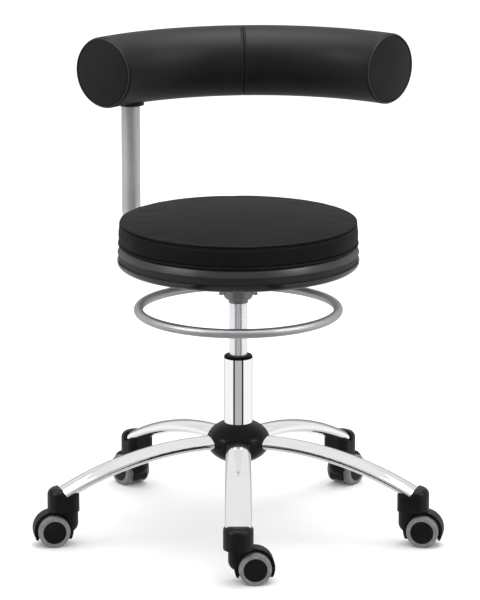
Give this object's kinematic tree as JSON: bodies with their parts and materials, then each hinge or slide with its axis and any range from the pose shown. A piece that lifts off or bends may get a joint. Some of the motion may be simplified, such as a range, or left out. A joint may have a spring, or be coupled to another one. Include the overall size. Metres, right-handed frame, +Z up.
{
  "type": "swivel work stool",
  "caption": "Round padded work stool on a castor star base, with gas lift, ring release and a curved padded roll that circles the seat as back or arm rest.",
  "frame": {"origin": "on the floor, on the gas spring's axis, midway between the castor wheels' contact with the floor", "axes": "+Z up along the gas spring, -Y towards the front leg, +X to the right seen from the front"},
  "size_m": [0.641, 0.6838, 0.749],
  "materials": {
    "chrome": "polished",
    "satin_metal": "satin",
    "dark_steel": "satin",
    "plain_steel": "turned",
    "black_gloss_plastic": "gloss",
    "black_plastic": "fine grain",
    "black_board": "black stained plywood",
    "grey_tread": "matt soft tread",
    "seal_rubber": "matt",
    "black_leatherette": "fine grained imitation leather",
    "foam": "open foam",
    "wood": "plain beech plywood"
  },
  "bodies": {
    "base": {"hub_socket": "plain_steel", "star_legs": "chrome", "hub_cover_upper": "black_gloss_plastic", "hub_cover_lower": "black_gloss_plastic", "leg_end_caps": "black_plastic", "castor_stems": "plain_steel", "column_tube": "chrome", "column_bushing": "black_plastic", "thrust_bearing": "plain_steel"},
    "piston_assembly": {"gas_rod": "plain_steel", "gas_piston": "plain_steel", "rod_clip": "plain_steel"},
    "seat": {"pressure_tube": "chrome", "rod_guide": "seal_rubber", "seat_carrier": "dark_steel", "carrier_screws": "plain_steel", "seat_pan": "black_gloss_plastic", "seat_board": "black_board", "seat_foam": "foam", "seat_cover": "black_leatherette"},
    "ring_release": {"release_ring": "satin_metal"},
    "push_rod_body": {"push_rod": "plain_steel"},
    "lever_body": {"release_lever": "plain_steel"},
    "valve_pin": {"release_pin": "plain_steel"},
    "back_rest": {"swivel_collar": "satin_metal", "back_bar": "satin_metal", "roll_core": "wood", "roll_foam": "foam", "roll_cover": "black_leatherette", "bar_rosette": "black_plastic"},
    "castor_front": {"castor_housing_front": "black_plastic", "castor_axle_front": "plain_steel"},
    "wheel_front_left": {"wheel_front_left": "black_plastic", "tread_front_left": "grey_tread"},
    "wheel_front_right": {"wheel_front_right": "black_plastic", "tread_front_right": "grey_tread"},
    "castor_front_right": {"castor_housing_front_right": "black_plastic", "castor_axle_front_right": "plain_steel"},
    "wheel_front_right_left": {"wheel_front_right_left": "black_plastic", "tread_front_right_left": "grey_tread"},
    "wheel_front_right_right": {"wheel_front_right_right": "black_plastic", "tread_front_right_right": "grey_tread"},
    "castor_rear_right": {"castor_housing_rear_right": "black_plastic", "castor_axle_rear_right": "plain_steel"},
    "wheel_rear_right_left": {"wheel_rear_right_left": "black_plastic", "tread_rear_right_left": "grey_tread"},
    "wheel_rear_right_right": {"wheel_rear_right_right": "black_plastic", "tread_rear_right_right": "grey_tread"},
    "castor_rear_left": {"castor_housing_rear_left": "black_plastic", "castor_axle_rear_left": "plain_steel"},
    "wheel_rear_left_left": {"wheel_rear_left_left": "black_plastic", "tread_rear_left_left": "grey_tread"},
    "wheel_rear_left_right": {"wheel_rear_left_right": "black_plastic", "tread_rear_left_right": "grey_tread"},
    "castor_front_left": {"castor_housing_front_left": "black_plastic", "castor_axle_front_left": "plain_steel"},
    "wheel_front_left_left": {"wheel_front_left_left": "black_plastic", "tread_front_left_left": "grey_tread"},
    "wheel_front_left_right": {"wheel_front_left_right": "black_plastic", "tread_front_left_right": "grey_tread"}
  },
  "joints": [
    {"name": "seat_turn", "type": "hinge", "parent": "base", "child": "piston_assembly", "pos_m": [0, 0, 0.104], "axis": [0, 0, 1], "continuous": true},
    {"name": "seat_lift", "type": "slide", "parent": "piston_assembly", "child": "seat", "axis": [0, 0, 1], "range_m": [-0.072, 0.055]},
    {"name": "ring_tilt", "type": "hinge", "parent": "seat", "child": "ring_release", "pos_m": [0, 0, 0.3815], "axis": [1, 0, 0], "range_deg": [0, 5], "stiffness_Nm_per_rad": 12},
    {"name": "push_rod_rise", "type": "slide", "parent": "seat", "child": "push_rod_body", "axis": [0, 0, 1], "range_m": [0, 0.0017]},
    {"name": "lever_rock", "type": "hinge", "parent": "seat", "child": "lever_body", "pos_m": [0, 0.0095, 0.4394], "axis": [1, 0, 0], "range_deg": [0, 10.6]},
    {"name": "pin_press", "type": "slide", "parent": "seat", "child": "valve_pin", "axis": [0, 0, -1], "range_m": [0, 0.0018]},
    {"name": "back_swing", "type": "hinge", "parent": "seat", "child": "back_rest", "pos_m": [0, 0, 0.405], "axis": [0, 0, 1], "continuous": true},
    {"name": "castor_swivel_front", "type": "hinge", "parent": "base", "child": "castor_front", "pos_m": [0, -0.278, 0.05], "axis": [0, 0, 1], "continuous": true},
    {"name": "wheel_spin_front_left", "type": "hinge", "parent": "castor_front", "child": "wheel_front_left", "pos_m": [0.02391, -0.27591, 0.025], "axis": [-0.0872, 0.9962, 0], "continuous": true},
    {"name": "wheel_spin_front_right", "type": "hinge", "parent": "castor_front", "child": "wheel_front_right", "pos_m": [0.02391, -0.27591, 0.025], "axis": [-0.0872, 0.9962, 0], "continuous": true},
    {"name": "castor_swivel_front_right", "type": "hinge", "parent": "base", "child": "castor_front_right", "pos_m": [0.26439, -0.08591, 0.05], "axis": [0, 0, 1], "continuous": true},
    {"name": "wheel_spin_front_right_left", "type": "hinge", "parent": "castor_front_right", "child": "wheel_front_right_left", "pos_m": [0.28799, -0.09028, 0.025], "axis": [0.1822, 0.9833, 0], "continuous": true},
    {"name": "wheel_spin_front_right_right", "type": "hinge", "parent": "castor_front_right", "child": "wheel_front_right_right", "pos_m": [0.28799, -0.09028, 0.025], "axis": [0.1822, 0.9833, 0], "continuous": true},
    {"name": "castor_swivel_rear_right", "type": "hinge", "parent": "base", "child": "castor_rear_right", "pos_m": [0.1634, 0.22491, 0.05], "axis": [0, 0, 1], "continuous": true},
    {"name": "wheel_spin_rear_right_left", "type": "hinge", "parent": "castor_rear_right", "child": "wheel_rear_right_left", "pos_m": [0.17751, 0.24432, 0.025], "axis": [-0.809, 0.5878, 0], "continuous": true},
    {"name": "wheel_spin_rear_right_right", "type": "hinge", "parent": "castor_rear_right", "child": "wheel_rear_right_right", "pos_m": [0.17751, 0.24432, 0.025], "axis": [-0.809, 0.5878, 0], "continuous": true},
    {"name": "castor_swivel_rear_left", "type": "hinge", "parent": "base", "child": "castor_rear_left", "pos_m": [-0.1634, 0.22491, 0.05], "axis": [0, 0, 1], "continuous": true},
    {"name": "wheel_spin_rear_left_left", "type": "hinge", "parent": "castor_rear_left", "child": "wheel_rear_left_left", "pos_m": [-0.17785, 0.24407, 0.025], "axis": [-0.7986, -0.6018, 0], "continuous": true},
    {"name": "wheel_spin_rear_left_right", "type": "hinge", "parent": "castor_rear_left", "child": "wheel_rear_left_right", "pos_m": [-0.17785, 0.24407, 0.025], "axis": [-0.7986, -0.6018, 0], "continuous": true},
    {"name": "castor_swivel_front_left", "type": "hinge", "parent": "base", "child": "castor_front_left", "pos_m": [-0.26439, -0.08591, 0.05], "axis": [0, 0, 1], "continuous": true},
    {"name": "wheel_spin_front_left_left", "type": "hinge", "parent": "castor_front_left", "child": "wheel_front_left_left", "pos_m": [-0.28799, -0.09028, 0.025], "axis": [0.1822, -0.9833, 0], "continuous": true},
    {"name": "wheel_spin_front_left_right", "type": "hinge", "parent": "castor_front_left", "child": "wheel_front_left_right", "pos_m": [-0.28799, -0.09028, 0.025], "axis": [0.1822, -0.9833, 0], "continuous": true}
  ],
  "couplings": [
    {"joint": "push_rod_rise", "follows": "ring_tilt", "m_per_rad": 0.0183},
    {"joint": "lever_rock", "follows": "ring_tilt", "ratio": 2.0795},
    {"joint": "pin_press", "follows": "ring_tilt", "m_per_rad": 0.019756}
  ]
}
